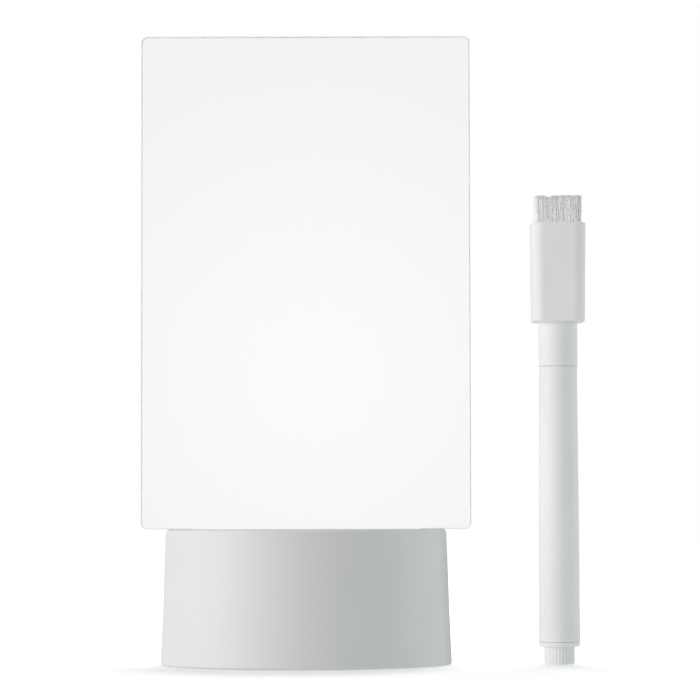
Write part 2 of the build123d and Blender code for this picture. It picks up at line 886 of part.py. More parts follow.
# Cap: a round skirt under a square block, with a pocket on top for the brush
with BuildPart() as pen_cap:
    with BuildSketch(disc_plane(skirt_top)):
        RectangleRounded(block_low_width, block_low_width, block_corner)
    with BuildSketch(disc_plane(cap_top)):
        RectangleRounded(block_top_width, block_top_width, block_corner)
    loft(ruled=True)
    fillet(edges().group_by(Axis.Z)[-1], radius=block_top_round)
    fillet(edges().group_by(Axis.Z)[0], radius=block_low_round)
    with BuildSketch(disc_plane(cap_bottom)):
        Circle(skirt_radius)
    extrude(amount=skirt_top - cap_bottom + beyond)
    fillet(edges().filter_by(GeomType.CIRCLE).group_by(Axis.Z)[0], radius=skirt_round)
    with BuildSketch(disc_plane(cap_bottom)):
        Circle(cap_bore_low)
    extrude(amount=cap_bore_step - cap_bottom, mode=Mode.SUBTRACT)
    with BuildSketch(disc_plane(cap_bore_step)):
        Circle(cap_bore_high)
    extrude(amount=cap_bore_top - cap_bore_step, mode=Mode.SUBTRACT)
    with BuildSketch(disc_plane(brush_pocket_floor)):
        RectangleRounded(brush_pocket, brush_pocket, brush_pocket_round)
    extrude(amount=cap_top - brush_pocket_floor, mode=Mode.SUBTRACT)
keep(pen_cap, "pen_cap")

# Cap liner: a soft cup that seals round the nib holder
with BuildPart() as cap_liner:
    with BuildSketch(disc_plane(liner_bottom)):
        Circle(liner_outer_radius)
    extrude(amount=cap_bore_top - liner_bottom)
    with BuildSketch(disc_plane(liner_bottom)):
        Circle(liner_inner_radius)
    extrude(amount=cap_bore_top - liner_roof - liner_bottom, mode=Mode.SUBTRACT)
keep(cap_liner, "cap_liner")


# Eraser brush: stiff white fibres that fan out a little and end unevenly
def strand_lean(u, v):
    """How far a strand leans sideways per millimetre of height, smooth over the brush."""
    lean_x = 0.035 * u + 0.022 * sin(2.1 * v + 4.0 * u)
    lean_y = 0.035 * v + 0.022 * sin(2.6 * u - 3.2 * v)
    return lean_x, lean_y


def strand_top(u, v, row, column):
    """Height of a strand's tip: a shallow dip left of the middle, and uneven ends."""
    dip = 1.5 * max(0.0, 1 - abs(u + 0.5) / 0.22)
    wave = 0.35 * sin(5.0 * u + 1.0) * cos(3.0 * v)
    uneven = 0.7 * ((row * 7 + column * 11) % 10) / 10
    return brush_top - 0.5 - dip - wave - uneven


strands = []
strand_foot = backing_top - strand_root
foot_reach = (brush_spread - strand_width) / 2
for row in range(strand_rows):
    for column in range(strand_rows):
        u = 2 * column / (strand_rows - 1) - 1
        v = 2 * row / (strand_rows - 1) - 1
        past_corner = hypot(max(0, abs(u) - brush_corner_start), max(0, abs(v) - brush_corner_start))
        if past_corner > brush_corner_round:
            continue
        lean_x, lean_y = strand_lean(u, v)
        foot = (pen_x + u * foot_reach, v * foot_reach, strand_foot)
        strand_plane = Plane(origin=foot, z_dir=(lean_x, lean_y, 1))
        profile = strand_plane * Rectangle(strand_width, strand_width)
        strands.append(extrude(profile, amount=strand_top(u, v, row, column) - strand_foot))

with BuildPart() as eraser_brush:
    with BuildSketch(disc_plane(brush_pocket_floor)):
        RectangleRounded(brush_backing, brush_backing, brush_pocket_round)
    extrude(amount=backing_top - brush_pocket_floor)
    add(strands)
print("strands", len(strands), "brush solids", len(eraser_brush.part.solids()))
keep(eraser_brush, "eraser_brush")
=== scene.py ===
import json
import math

import bmesh
import bpy
from mathutils import Matrix, Vector, noise

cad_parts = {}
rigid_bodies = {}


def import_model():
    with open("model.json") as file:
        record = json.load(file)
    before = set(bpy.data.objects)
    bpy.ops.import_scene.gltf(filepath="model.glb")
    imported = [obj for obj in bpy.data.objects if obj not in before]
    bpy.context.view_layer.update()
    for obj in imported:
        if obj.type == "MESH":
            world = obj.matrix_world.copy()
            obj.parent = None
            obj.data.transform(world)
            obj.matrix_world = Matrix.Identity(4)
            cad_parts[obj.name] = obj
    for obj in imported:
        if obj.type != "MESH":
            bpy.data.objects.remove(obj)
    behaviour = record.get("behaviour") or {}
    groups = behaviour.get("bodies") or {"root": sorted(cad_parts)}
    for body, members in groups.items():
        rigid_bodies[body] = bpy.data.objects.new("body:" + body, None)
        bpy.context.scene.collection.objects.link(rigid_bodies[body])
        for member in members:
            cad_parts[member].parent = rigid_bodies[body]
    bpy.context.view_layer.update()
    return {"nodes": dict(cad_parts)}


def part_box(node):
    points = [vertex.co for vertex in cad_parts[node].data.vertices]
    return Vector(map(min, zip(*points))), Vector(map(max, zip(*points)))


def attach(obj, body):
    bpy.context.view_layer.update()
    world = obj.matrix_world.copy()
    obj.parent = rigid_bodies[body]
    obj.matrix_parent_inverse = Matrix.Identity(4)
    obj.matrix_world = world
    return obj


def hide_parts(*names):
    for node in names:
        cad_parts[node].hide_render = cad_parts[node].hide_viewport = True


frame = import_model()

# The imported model: everything below is in metres, in its frame, with +Z up from the desk
MM = 0.001
cad = frame["nodes"]


# Camera: as high as the base's roof and about a metre in front of it, tipped up to take in the
# whole panel, and turned by a hair about its own line of sight
def add_object(name, data):
    """Puts a camera, lamp, curve or mesh in the scene, at the origin."""
    made = bpy.data.objects.new(name, data)
    bpy.context.scene.collection.objects.link(made)
    return made


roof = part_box("base_shell")[1].z
camera_tip = 2.95
camera_roll = 0.12
camera_lens = bpy.data.cameras.new("desk_camera")
camera_lens.lens = 178.6
camera_lens.clip_start = 0.05
camera_lens.clip_end = 60
camera = add_object("desk_camera", camera_lens)
camera.location = (13.3 * MM, -1054 * MM, roof)
camera.rotation_euler = (math.radians(90 + camera_tip), math.radians(camera_roll), 0)
bpy.context.scene.camera = camera
bpy.context.scene.view_settings.view_transform = "Standard"


# Room: a white table under a white sky, with a large soft lamp low at the left, a weaker one at
# the right and one behind that lights only the table. Only the camera meets the table, from above
# and through glass, with the object's shadow on it. It blocks no light, so that the underside can
# be seen from below, and a lamp under it stands for the light that it would throw back up.
class Shade:
    """One output of a shader node. Operators on Shades and numbers add Math nodes."""

    def __init__(self, tree, socket=None):
        self.tree = tree
        self.socket = socket

    def node(self, kind, settings=None, sockets=None, output=0):
        """Adds any other node: its settings first, then the values or links of its sockets."""
        made = self.tree.nodes.new(kind)
        for name, setting in (settings or {}).items():
            setattr(made, name, setting)
        for name, value in (sockets or {}).items():
            if isinstance(value, Shade):
                self.tree.links.new(value.socket, made.inputs[name])
            else:
                made.inputs[name].default_value = value
        return Shade(self.tree, made.outputs[output] if made.outputs else None)

    def output(self, name):
        """Another output of the same node."""
        return Shade(self.tree, self.socket.node.outputs[name])

    def maths(self, operation, first, second=0.0):
        return self.node("ShaderNodeMath", {"operation": operation}, {0: first, 1: second})

    def __add__(self, other):
        return self.maths("ADD", self, other)

    def __radd__(self, other):
        return self.maths("ADD", other, self)

    def __sub__(self, other):
        return self.maths("SUBTRACT", self, other)

    def __rsub__(self, other):
        return self.maths("SUBTRACT", other, self)

    def __mul__(self, other):
        return self.maths("MULTIPLY", self, other)

    def __rmul__(self, other):
        return self.maths("MULTIPLY", other, self)

    def __abs__(self):
        return self.maths("ABSOLUTE", self)

    def at_most(self, other):
        return self.maths("MINIMUM", self, other)

    def at_least(self, other):
        return self.maths("MAXIMUM", self, other)

    def axis(self, name):
        """One coordinate of a place."""
        return self.node("ShaderNodeSeparateXYZ", None, {"Vector": self}, name)

    def fade(self, start, end):
        """0 at start and 1 at end, smoothly, and level outside them. Start may be the larger."""
        values = {"Value": self, "From Min": start, "From Max": end}
        return self.node("ShaderNodeMapRange", {"interpolation_type": "SMOOTHSTEP"}, values)

    def mix(self, low, high):
        """A colour from low to high as this goes from 0 to 1. In a colour Mix node, sockets 6 and 7
        are its two colours and output 2 is the result."""
        return self.node("ShaderNodeMix", {"data_type": "RGBA"}, {0: self, 6: low, 7: high}, 2)

    def grain(self, size, detail, stretch=(1, 1, 1)):
        """Noise in blobs about as wide as size. A stretch under 1 draws them out along its axis."""
        place = self.node("ShaderNodeMapping", None, {"Vector": self, "Scale": stretch})
        values = {"Vector": place, "Scale": 1 / size, "Detail": detail}
        return self.node("ShaderNodeTexNoise", None, values)

    def relief(self, strength, depth):
        """A surface that follows this as its relief, of a strength, and so many metres deep."""
        values = {"Strength": strength, "Distance": depth, "Height": self}
        return self.node("ShaderNodeBump", None, values)

    def close(self, values):
        """Ends a material in a skin of these values."""
        skin = self.node("ShaderNodeBsdfPrincipled", None, values)
        self.node("ShaderNodeOutputMaterial", None, {"Surface": skin})


def start_finish(name):
    """An empty material, and the place on the piece that its patterns read."""
    material = bpy.data.materials.new(name)
    material.use_nodes = True
    material.node_tree.nodes.clear()
    return material, Shade(material.node_tree).node("ShaderNodeTexCoord", output="Object")


def seen_rays(shade):
    """1 for rays from the camera, straight or through glass, and 0 for any other."""
    path = shade.node("ShaderNodeLightPath", output="Is Camera Ray")
    return (path + path.output("Is Transmission Ray")).at_most(1)


def soft_lamp(name, bearing, rise, level, colour, width):
    """A flat lamp aimed at the board, so many degrees right of the camera and above the desk. Level
    is how much of white it adds to a surface facing it."""
    lamp = bpy.data.lights.new(name, "AREA")
    lamp.shape = "RECTANGLE"
    lamp.size = width
    lamp.size_y = lamp_height
    lamp.color = colour
    lamp.energy = 4 * math.pi * level * lamp_distance**2
    out = lamp_distance * math.cos(math.radians(rise))
    up = lamp_distance * math.sin(math.radians(rise))
    across = out * math.sin(math.radians(bearing))
    forward = -out * math.cos(math.radians(bearing))
    stand = add_object(name, lamp)
    stand.location = lamp_aim + Vector((across, forward, up))
    stand.rotation_euler = (stand.location - lamp_aim).to_track_quat("Z", "Y").to_euler()
    stand.visible_camera = False
    return stand


# The sky is white to the camera, and in gloss and glass wherever they show what lies behind the
# object. As light, and in gloss on the camera's side, it is a cool grey, but for one pale patch
# behind the camera, dark round its edge, which the panel mirrors.
sky_level = 0.525
sky_colour = (0.95, 1.0, 0.99, 1)
patch_bearing = (-0.01, -1, 0.045)
patch_level = 1.8
patch_reach = 0.105
dark_reach = (0.12, 0.5)
sky = bpy.data.worlds.new("white_sky")
sky.use_nodes = True
sky.node_tree.nodes.clear()
sky_tree = Shade(sky.node_tree)
seen = seen_rays(sky_tree)
bearing = sky_tree.node("ShaderNodeTexCoord", output="Generated")
between = {0: bearing, 1: patch_bearing}
off_patch = sky_tree.node("ShaderNodeVectorMath", {"operation": "DISTANCE"}, between, "Value")
in_gloss = sky_tree.node("ShaderNodeLightPath", output="Is Glossy Ray")
behind = bearing.axis("Y").fade(0.75, 0.98)
room = patch_level * off_patch.fade(patch_reach, 0) + sky_level * off_patch.fade(*dark_reach)
mirrored = behind + (1 - behind) * room
unseen_level = in_gloss * mirrored + (1 - in_gloss) * sky_level
sky_values = {
    "Color": seen.mix(sky_colour, (1, 1, 1, 1)),
    "Strength": seen + (1 - seen) * unseen_level,
}
sky_background = sky_tree.node("ShaderNodeBackground", None, sky_values)
sky_tree.node("ShaderNodeOutputWorld", None, {"Surface": sky_background})
bpy.context.scene.world = sky

lamp_distance = 1.3
lamp_height = 0.6
lamp_aim = Vector((0.02, 0, 0.08))
left_lamp = soft_lamp("left_lamp", -68, 10, 0.478, (1.0, 0.935, 0.92), width=1.1)
pen_lamp = soft_lamp("pen_lamp", -63, 10, 0.41, (1.0, 0.97, 0.95), width=0.9)
soft_lamp("right_lamp", 96, 14, 0.15, (0.98, 0.99, 1.0), width=0.4)
back_lamp = soft_lamp("back_lamp", 176, 45, 0.40, (1.0, 1.0, 1.0), width=0.7)
soft_lamp("table_bounce", 0, -88, 0.15, (1.0, 1.0, 1.0), width=0.6)

# The table glows to make up for the lamps that pass it by. Near the object its glow is lower,
# a painted shadow round it, and it is lower far away too, where it ends in the sky
painted_shadow_reach = (0.06, 0.4)
far_reach = (0.8, 4)
table_material, place = start_finish("white_table")
table_paint = place.node("ShaderNodeBsdfDiffuse", None, {"Color": (0.95, 0.95, 0.95, 1)})
from_middle = place.node("ShaderNodeVectorMath", {"operation": "LENGTH"}, {0: place}, "Value")
glow_with_painted_shadow = from_middle.fade(*painted_shadow_reach).mix((0.22, 0.22, 0.22, 1), (0.62, 0.62, 0.62, 1))
glow_with_painted_shadow = from_middle.fade(*far_reach).mix(glow_with_painted_shadow, (0.54, 0.54, 0.54, 1))
table_glow = place.node("ShaderNodeEmission", None, {"Color": glow_with_painted_shadow})
table_surface = place.node("ShaderNodeAddShader", None, {0: table_paint, 1: table_glow})
table_top = seen_rays(place) * (1 - place.node("ShaderNodeNewGeometry", output="Backfacing"))
open_air = place.node("ShaderNodeBsdfTransparent")
table_mix = place.node("ShaderNodeMixShader", None, {0: table_top, 1: open_air, 2: table_surface})
place.node("ShaderNodeOutputMaterial", None, {"Surface": table_mix})
bpy.ops.object.select_all(action="DESELECT")
bpy.ops.mesh.primitive_plane_add(size=16)
table = bpy.context.object
table.name = "table"
table.data.materials.append(table_material)
lit_from_behind = bpy.data.collections.new("lit_from_behind")
lit_from_behind.objects.link(table)
back_lamp.light_linking.receiver_collection = lit_from_behind


# Base shell: one moulding of white ABS, a drum with a roof and no floor. Its mould was blasted
# to a fine satin grain, its lower rim is rubbed by the desk and the slot's mouth by the panel.
def toned(colour, share):
    """The same colour, darker or lighter."""
    return [share * part for part in colour[:3]] + [1]


def satin_plastic(name, colour, roughness, wear=None):
    """Moulded white plastic: a fine grain, faint clouds of tone and, where wear says, rubbed."""
    material, place = start_finish(name)
    clouds = place.grain(19 * MM, 3).fade(0.32, 0.68)
    flow = place.grain(2.4 * MM, 2, (1, 1, 0.2))
    sparks = place.grain(0.3 * MM, 1)
    tone = clouds.mix(toned(colour, 0.975), colour)
    rough = roughness + 0.06 * clouds + 0.05 * flow
    if wear:
        rubbed = wear(place)
        tone = (0.25 * rubbed).mix(tone, toned(colour, 0.8))
        rough = rough + 0.15 * rubbed
    blasted = (sparks * 0.6 + flow * 0.4).relief(0.25, 0.012 * MM)
    place.close({"Base Color": tone, "Roughness": rough, "IOR": 1.53, "Normal": blasted})
    return material


def dress(node, material):
    """Gives a CAD node its finish."""
    cad[node].material_slots[0].material = material


def base_wear(place):
    """Scuffs in a narrow band above the desk, and nicks within 2 mm of the slot's mouth."""
    height = place.axis("Z")
    rim = height.fade(1.8 * MM, 0.5 * MM)
    scuffs = rim * place.grain(1.1 * MM, 3, (1, 1, 0.6)).fade(0.5, 0.65)
    past_end = abs(place.axis("X")) - slot_half.x
    past_side = abs(place.axis("Y")) - slot_half.y
    mouth = past_end.at_least(past_side).fade(2.0 * MM, 0.2 * MM)
    mouth = mouth * height.fade(roof - 0.8 * MM, roof - 0.4 * MM)
    nicks = mouth * place.grain(0.7 * MM, 2, (1, 0.4, 1)).fade(0.55, 0.65)
    return scuffs.at_least(nicks)


slot_half = Vector((35.3 * MM, 2.2 * MM))
dress("base_shell", satin_plastic("base_satin", (0.772, 0.775, 0.773, 1), 0.56, base_wear))

# Bottom cover and battery door: thinner mouldings of the same white ABS. The cover is held by
# four screws and carries the battery bay, and the door hooks in its left side and snaps shut.
under_plastic = satin_plastic("cover_satin", (0.77, 0.77, 0.765, 1), 0.5)
dress("bottom_cover", under_plastic)
dress("battery_door", under_plastic)

# Foot ring: a soft grey rubber strip pressed in the cover's groove. It is dull, with a bloom of
# dust on the side that stands on the desk.
foot_material, place = start_finish("foot_rubber")
dust = place.grain(2.5 * MM, 4).fade(0.45, 0.65) * place.axis("Z").fade(0.8 * MM, 0.1 * MM)
pores = place.grain(0.25 * MM, 2)
rubber = {
    "Base Color": (0.5 * dust).mix((0.5, 0.5, 0.49, 1), (0.66, 0.65, 0.62, 1)),
    "Roughness": 0.72 + 0.15 * dust,
    "Normal": pores.relief(0.4, 0.02 * MM),
}
place.close(rubber)
dress("foot_ring", foot_material)


# Screws: cold-headed steel, zinc plated. Four hold the cover, two the light strip and two the
# switch. The plating is bright, with a little white bloom and driver marks in the heads.
def plain_metal(name, colour, roughness, bloom, drawn=(1, 1, 1)):
    """Bare or plated metal: bloom dulls it in patches, and drawn stretches its fine lines."""
    material, place = start_finish(name)
    lines = place.grain(0.12 * MM, 3, drawn)
    patches = place.grain(1.6 * MM, 3).fade(0.5, 0.75)
    metal = {
        "Base Color": (patches * (0.2 + bloom)).mix(colour, toned(colour, 0.75)),
        "Metallic": 1.0,
        "Roughness": roughness + 0.1 * lines + (0.1 + bloom) * patches,
        "Normal": lines.relief(0.2, 0.01 * MM),
    }
    place.close(metal)
    return material


zinc = plain_metal("zinc_plate", (0.66, 0.67, 0.68, 1), 0.24, bloom=0.15)
for node in ("cover_screws", "board_screws", "switch_screws"):
    dress(node, zinc)


# Cells: three AA cells, plus ends right, left and right. Each is a steel can in a printed film
# sleeve that is shrunk over both rims, with a plastic washer round its plus cap. The sleeve is
# plain, with a darker band at each end.
def new_piece(name, add, **size):
    """Adds a primitive at its size and place, puts that place in its mesh, and enters edit mode."""
    bpy.ops.object.select_all(action="DESELECT")
    add(**size)
    piece = bpy.context.object
    piece.name = name
    piece.data.name = name
    bpy.ops.object.transform_apply(location=True, rotation=True, scale=True)
    bpy.ops.object.mode_set(mode="EDIT")
    return piece


def pick(kind, test):
    """In edit mode, selects just the edges or faces that pass a test."""
    bpy.ops.mesh.select_mode(type=kind)
    bpy.ops.mesh.select_all(action="DESELECT")
    mesh = bmesh.from_edit_mesh(bpy.context.object.data)
    for part in mesh.edges if kind == "EDGE" else mesh.faces:
        if test(part):
            part.select_set(True)
    bmesh.update_edit_mesh(bpy.context.object.data)


def push(*step):
    """Extrudes what is selected by one step."""
    bpy.ops.mesh.extrude_region_move(TRANSFORM_OT_translate={"value": step})


def close_piece(piece, width, angle=30):
    """Leaves edit mode and rounds every sharp edge. Only the rounding is shaded as curved, so that
    flat faces stay flat in gloss and glass."""
    bpy.ops.mesh.select_all(action="SELECT")
    bpy.ops.mesh.normals_make_consistent(inside=False)
    bpy.ops.object.mode_set(mode="OBJECT")
    bpy.ops.object.shade_smooth_by_angle(angle=math.radians(angle))
    edge_round = piece.modifiers.new("edge_round", "BEVEL")
    edge_round.width = width
    edge_round.segments = 2
    edge_round.limit_method = "ANGLE"
    edge_round.angle_limit = math.radians(angle)
    edge_round.harden_normals = True
    bpy.ops.object.modifier_apply(modifier="edge_round")


def set_in(piece, body, replaced):
    """Puts a piece on the body it rides on, and hides the CAD node it stands for."""
    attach(piece, body)
    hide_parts(replaced)


cell_low, cell_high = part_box("battery_1")
cell_radius = (cell_high.z - cell_low.z) / 2
cell_middle = (cell_low + cell_high) / 2
plus_sides = {"battery_1": 1, "battery_2": -1, "battery_3": 1}
cell_rows = {node: (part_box(node)[0].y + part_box(node)[1].y) / 2 for node in plus_sides}
nub_radius = 2.7 * MM
nub_length = 1.2 * MM
nub_step = 0.4 * MM
nub_shoulder = 0.35 * MM
sleeve_rim = 0.7 * MM
end_dish = 0.35 * MM
washer_width = 1.5 * MM
washer_rise = 0.15 * MM
floor_border = 1.3 * MM
band_start = 17.0 * MM

sleeve_material, place = start_finish("cell_sleeve")
film = place.grain(6 * MM, 3, (0.3, 1, 1))
band = abs(place.axis("X")).fade(band_start, band_start + 0.2 * MM)
creases = place.grain(0.5 * MM, 2, (0.06, 1, 1))
sleeve = {
    "Base Color": band.mix((0.16, 0.22, 0.27, 1), (0.05, 0.055, 0.06, 1)),
    "Roughness": 0.24 + 0.12 * film,
    "Normal": creases.relief(0.3, 0.02 * MM),
}
place.close(sleeve)
can_steel = plain_metal("cell_can", (0.72, 0.71, 0.68, 1), 0.2, bloom=0.05)

cell_body = cell_high.x - cell_low.x - nub_length
cell = new_piece(
    "battery_right",
    bpy.ops.mesh.primitive_cylinder_add,
    vertices=64,
    radius=cell_radius,
    depth=cell_body,
    location=(cell_low.x + cell_body / 2, 0, cell_middle.z),
    rotation=(0, math.radians(90), 0),
)
# Plus end: the sleeve's rim, the washer in a shallow dish, and the stepped cap
pick("FACE", lambda face: face.normal.x > 0.9)
bpy.ops.mesh.inset(thickness=sleeve_rim)
push(-end_dish, 0, 0)
bpy.ops.mesh.inset(thickness=washer_width)
push(washer_rise, 0, 0)
bpy.ops.mesh.inset(thickness=cell_radius - sleeve_rim - washer_width - nub_radius)
push(nub_length + end_dish - nub_step, 0, 0)
bpy.ops.mesh.inset(thickness=nub_shoulder)
push(nub_step - washer_rise, 0, 0)
# Minus end: the sleeve's rim, a dish and the can's flat floor
pick("FACE", lambda face: face.normal.x < -0.9)
bpy.ops.mesh.inset(thickness=sleeve_rim)
push(end_dish, 0, 0)
bpy.ops.mesh.inset(thickness=floor_border)
push(-end_dish, 0, 0)
close_piece(cell, 0.14 * MM)
cell.data.materials.append(sleeve_material)
cell.data.materials.append(can_steel)
for face in cell.data.polygons:
    out = math.hypot(face.center.y, face.center.z - cell_middle.z)
    face.material_index = int(out < cell_radius - sleeve_rim - 0.1 * MM)

for node, side in plus_sides.items():
    copy = add_object(node + "_cell", cell.data.copy())
    for corner in copy.data.vertices:
        corner.co = Vector((side * corner.co.x, side * corner.co.y + cell_rows[node], corner.co.z))
    set_in(copy, "root", node)
bpy.data.objects.remove(cell)

# Contacts: nickel-plated spring steel strips slid in the bay's two end walls, stamped with a
# pip for each plus end. The outer two have a tail for a wire.
nickel = plain_metal("nickel_plate", (0.74, 0.72, 0.66, 1), 0.22, bloom=0.05, drawn=(1, 1, 0.05))
dress("positive_terminal", nickel)
dress("negative_terminal", nickel)
dress("bridge_contact_left", nickel)
dress("bridge_contact_right", nickel)

# Contact springs: a cone of round steel wire behind each cell's minus end, its wide turn
# spot-welded to the strip and its narrow turn against the cell
spring_wire = 0.3 * MM
spring_wide = 4.0 * MM
spring_narrow = 2.6 * MM
spring_turns = 4
flat_turns = 0.8
turn_points = 20
strip_face = 27.3 * MM
can_end = 23.5 * MM
springs = []
for node, side in plus_sides.items():
    spring_line = bpy.data.curves.new("spring_" + node, "CURVE")
    spring_line.dimensions = "3D"
    spring_line.bevel_depth = spring_wire
    spring_line.bevel_resolution = 3
    coil = spring_line.splines.new("POLY")
    coil.points.add(spring_turns * turn_points)
    wide_end = strip_face - spring_wire
    narrow_end = can_end + spring_wire
    for step, point in enumerate(coil.points):
        turned = step / turn_points
        share = min(max((turned - flat_turns) / (spring_turns - 2 * flat_turns), 0), 1)
        radius = spring_wide + (spring_narrow - spring_wide) * share
        across = radius * math.cos(2 * math.pi * turned)
        up = radius * math.sin(2 * math.pi * turned)
        along = -side * (wide_end + (narrow_end - wide_end) * share)
        point.co = (along, cell_rows[node] + across, cell_middle.z + up, 1)
    springs.append(add_object("spring_" + node, spring_line))
bpy.ops.object.select_all(action="DESELECT")
for spring in springs:
    spring.select_set(True)
bpy.context.view_layer.objects.active = springs[0]
bpy.ops.object.convert(target="MESH")
bpy.ops.object.join()
contact_coils = bpy.context.object
contact_coils.name = "contact_coils"
contact_coils.data.materials.clear()
contact_coils.data.materials.append(nickel)
bpy.ops.object.shade_smooth()
set_in(contact_coils, "root", "contact_springs")


# Light strip: a glass-fibre board with white solder mask over its copper tracks, screwed under
# the slot so that its six chips shine up in the panel's edge. Two rails of copper run its whole
# length, and short links join each chip to them.
def from_chip(place):
    """How far a point lies from the nearest chip's middle, along the strip."""
    return chip_pitch / 2 - place.maths("PINGPONG", place.axis("X"), chip_pitch / 2)


board_low, board_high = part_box("led_board")
chip_pitch = 11 * MM
rail_line = 3.6 * MM
link_line = 2.2 * MM
link_offset = 2.3 * MM
board_material, place = start_finish("white_mask")
across = abs(place.axis("Y"))
rails = abs(across - rail_line).fade(0.55 * MM, 0.45 * MM)
links = abs(across - link_line).fade(1.5 * MM, 1.3 * MM)
links = links * abs(from_chip(place) - link_offset).fade(0.5 * MM, 0.4 * MM)
tracks = rails.at_least(links) * abs(place.axis("X")).fade(34.2 * MM, 34.0 * MM)
weave = place.grain(0.5 * MM, 1)
edge = place.axis("Z").fade(board_high.z - 0.05 * MM, board_high.z - 0.1 * MM)
edge = edge * place.axis("Z").fade(board_low.z + 0.05 * MM, board_low.z + 0.1 * MM)
mask_colour = (0.6 * tracks).mix((0.8, 0.81, 0.78, 1), (0.86, 0.85, 0.78, 1))
board_skin = {
    "Base Color": edge.mix(mask_colour, (0.55, 0.53, 0.36, 1)),
    "Roughness": 0.38 + 0.1 * weave + 0.3 * edge,
    "Normal": (tracks + 0.1 * weave).relief(0.6, 0.04 * MM),
}
place.close(board_skin)
dress("led_board", board_material)

# Chips: white reflector frames filled with yellow phosphor gel, under the shallow wells
well_half_x = 1.3 * MM
well_half_y = 0.98 * MM
chip_material, place = start_finish("phosphor_chip")
in_well = from_chip(place).fade(well_half_x + 0.06 * MM, well_half_x)
in_well = in_well * abs(place.axis("Y")).fade(well_half_y + 0.04 * MM, well_half_y)
in_well = in_well * place.axis("Z").fade(board_high.z + 0.5 * MM, board_high.z + 0.55 * MM)
grit = place.grain(0.12 * MM, 2)
gel = grit.mix((0.88, 0.68, 0.1, 1), (0.95, 0.8, 0.22, 1))
chip_colour = in_well.mix((0.87, 0.87, 0.85, 1), gel)
place.close({"Base Color": chip_colour, "Roughness": 0.45 - 0.25 * in_well + 0.1 * grit})
dress("led_chips", chip_material)


# Resistor: a chip of white ceramic with a black glazed top and tinned ends, soldered beside the
# chips. The switch's knob and the wires' jackets use the same kind of dyed, slightly grainy skin.
def dyed_skin(name, colour, roughness, size):
    """A dyed plastic, rubber or glaze whose tone and gloss vary a little, in grains of a size."""
    material, place = start_finish(name)
    cloud = place.grain(6 * size, 3)
    speck = place.grain(size, 2)
    skin = {
        "Base Color": cloud.mix(toned(colour, 0.8), toned(colour, 1.2)),
        "Roughness": roughness + 0.12 * speck,
        "Normal": speck.relief(0.3, 0.05 * size),
    }
    place.close(skin)
    return material


dress("board_resistor", dyed_skin("black_glaze", (0.03, 0.03, 0.032, 1), 0.25, 0.1 * MM))

# Slide switch: a folded steel can with a brown laminate floor and three tinned pins, screwed
# to a pad inside the back wall. A black nylon knob comes through the window.
switch_tin = plain_metal("switch_tin", (0.62, 0.62, 0.6, 1), 0.28, bloom=0.1, drawn=(0.05, 1, 1))
dress("switch_body", switch_tin)
dress("switch_slider", dyed_skin("black_nylon", (0.022, 0.022, 0.023, 1), 0.42, 0.2 * MM))

# Wires: stranded copper in soft PVC jackets, red for plus and black for minus
red_jacket = dyed_skin("red_pvc", (0.5, 0.03, 0.025, 1), 0.35, 0.3 * MM)
dress("wire_positive", red_jacket)
dress("wire_switched", red_jacket)
dress("wire_negative", dyed_skin("black_pvc", (0.02, 0.02, 0.021, 1), 0.35, 0.3 * MM))


# Writing panel: 4 mm cast acrylic, cut by laser. Its faces are polished and slightly smudged,
# and its cut edges are satin, with fine lines straight through the sheet. Their arrises are
# painted in patches as shade, a darker grey at the sides and a lighter grey along the top. A tongue
# on its lower edge stands in the base's slot, and its shoulders rest on the base.
def clear_panel_skin(place, values, tint):
    """Ends a clear material. The lamps' light passes it straight and only takes its tint."""
    skin = place.node("ShaderNodeBsdfPrincipled", None, values)
    lamp_ray = place.node("ShaderNodeLightPath", output="Is Shadow Ray")
    window = place.node("ShaderNodeBsdfTransparent", None, {"Color": tint})
    either = place.node("ShaderNodeMixShader", None, {0: lamp_ray, 1: skin, 2: window})
    place.node("ShaderNodeOutputMaterial", None, {"Surface": either})


def runs(edge):
    """How far an edge of a mesh runs along X, Y and Z."""
    return Vector([abs(step) for step in edge.verts[1].co - edge.verts[0].co])


panel_low, panel_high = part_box("writing_panel")
tongue_half = 35 * MM
panel_corner = 2.0 * MM
cut_bevel = 0.24 * MM

face_material, place = start_finish("clear_acrylic")
smudge = place.grain(28 * MM, 4, (1, 1, 0.6)).fade(0.5, 0.8)
hairs = place.grain(0.5 * MM, 2, (0.02, 1, 1)).fade(0.68, 0.74)
hairs = hairs * place.grain(30 * MM, 2).fade(0.5, 0.6)
specks = {"Vector": place, "Scale": 1 / (17 * MM)}
dust = place.node("ShaderNodeTexVoronoi", None, specks).fade(0.013, 0.008)
face_values = {
    "Base Color": (0.35 * dust).mix((0.935, 0.93, 0.928, 1), (0.5, 0.5, 0.5, 1)),
    "Roughness": 0.01 + 0.035 * smudge + 0.05 * hairs,
    "IOR": 1.49,
    "Transmission Weight": 1.0,
}
clear_panel_skin(place, face_values, (0.93, 0.945, 0.94, 1))

edge_material, place = start_finish("laser_cut_edge")
cut_lines = place.grain(0.45 * MM, 2, (1, 0.03, 1))
# Painted shade on the arrises, in patches: darker grey at the sides, lighter grey along the top
painted_arris_band = abs(place.axis("Y")).fade(panel_high.y - 0.45 * MM, panel_high.y - 0.25 * MM)
painted_arris_band = painted_arris_band * place.grain(2.5 * MM, 3).fade(0.3, 0.6)
cut_colour = cut_lines.mix((0.66, 0.69, 0.68, 1), (0.84, 0.86, 0.85, 1))
shaded_side = abs(place.axis("X")).fade(panel_high.x - 0.8 * MM, panel_high.x - 0.2 * MM)
painted_arris_shade = shaded_side.mix((0.86, 0.88, 0.87, 1), (0.6, 0.61, 0.61, 1))
edge_values = {
    "Base Color": painted_arris_band.mix(cut_colour, painted_arris_shade),
    "Roughness": 0.25 + 0.2 * cut_lines,
    "IOR": 1.49,
    "Transmission Weight": 0.4,
    "Normal": cut_lines.relief(0.5, 0.03 * MM),
}
clear_panel_skin(place, edge_values, (0.7, 0.72, 0.71, 1))

